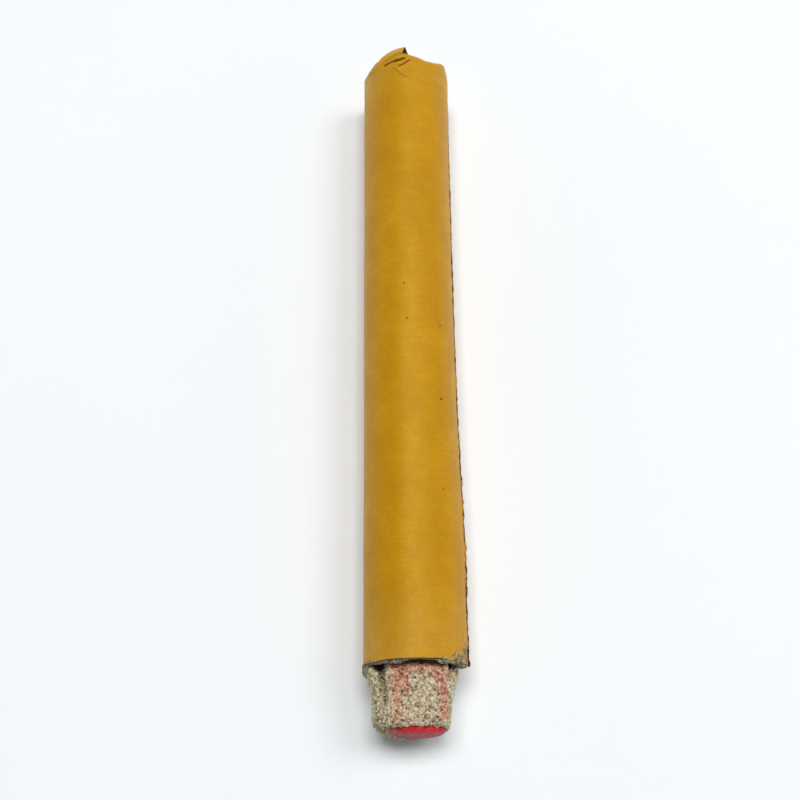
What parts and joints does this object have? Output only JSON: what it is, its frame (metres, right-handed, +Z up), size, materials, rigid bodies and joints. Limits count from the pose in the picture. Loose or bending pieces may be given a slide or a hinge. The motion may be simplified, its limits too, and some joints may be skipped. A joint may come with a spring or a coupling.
{
  "type": "road flare",
  "caption": "Hand-lit road flare: paper-wrapped tube with a folded tail, a charge inside, and a pull-out abrasive striker plug with a domed red tip in its mouth.",
  "frame": {"origin": "under the middle of the flare, on the surface that it lies on: the middle of the bounding box's bottom", "axes": "+Y along the flare towards its folded tail, so the striker plug points to -Y; +Z up, with the flare lying on its side; +X towards the side where the wrapper's outer ply ends"},
  "size_m": [0.023, 0.1708, 0.022],
  "materials": {
    "waxed_kraft": "waxed yellow-brown kraft paper, satin",
    "grey_board": "convolute-wound grey chipboard, matte",
    "liner_paper": "tan liner paper, matte",
    "sealing_paste": "dried grey paste, gritty",
    "burning_composition": "pressed pink-red powder, matte",
    "starter_mix": "pressed dark grey powder, matte",
    "ignition_compound": "black dipped match compound, satin",
    "pressed_clay": "pressed clay, matte",
    "abrasive_grit": "cast grit, coarse and matte",
    "red_striking_compound": "smooth red match compound, satin"
  },
  "bodies": {
    "flare": {"outer_wrapper": "waxed_kraft", "mouth_seal": "sealing_paste", "casing_tube": "grey_board", "inner_liner": "liner_paper", "retaining_washer": "grey_board", "ignition_button": "ignition_compound", "starter_charge": "starter_mix", "composition_pressing_1": "burning_composition", "composition_pressing_2": "burning_composition", "composition_pressing_3": "burning_composition", "composition_pressing_4": "burning_composition", "composition_pressing_5": "burning_composition", "tail_wad": "grey_board", "tail_plug": "pressed_clay", "tail_cover_disc": "grey_board"},
    "striker": {"striker_block": "abrasive_grit", "striking_tip": "red_striking_compound", "guard_disc": "liner_paper"}
  },
  "joints": [
    {"name": "striker_pull", "type": "slide", "parent": "flare", "child": "striker", "axis": [0, -1, 0], "range_m": [0, 0.03]}
  ]
}
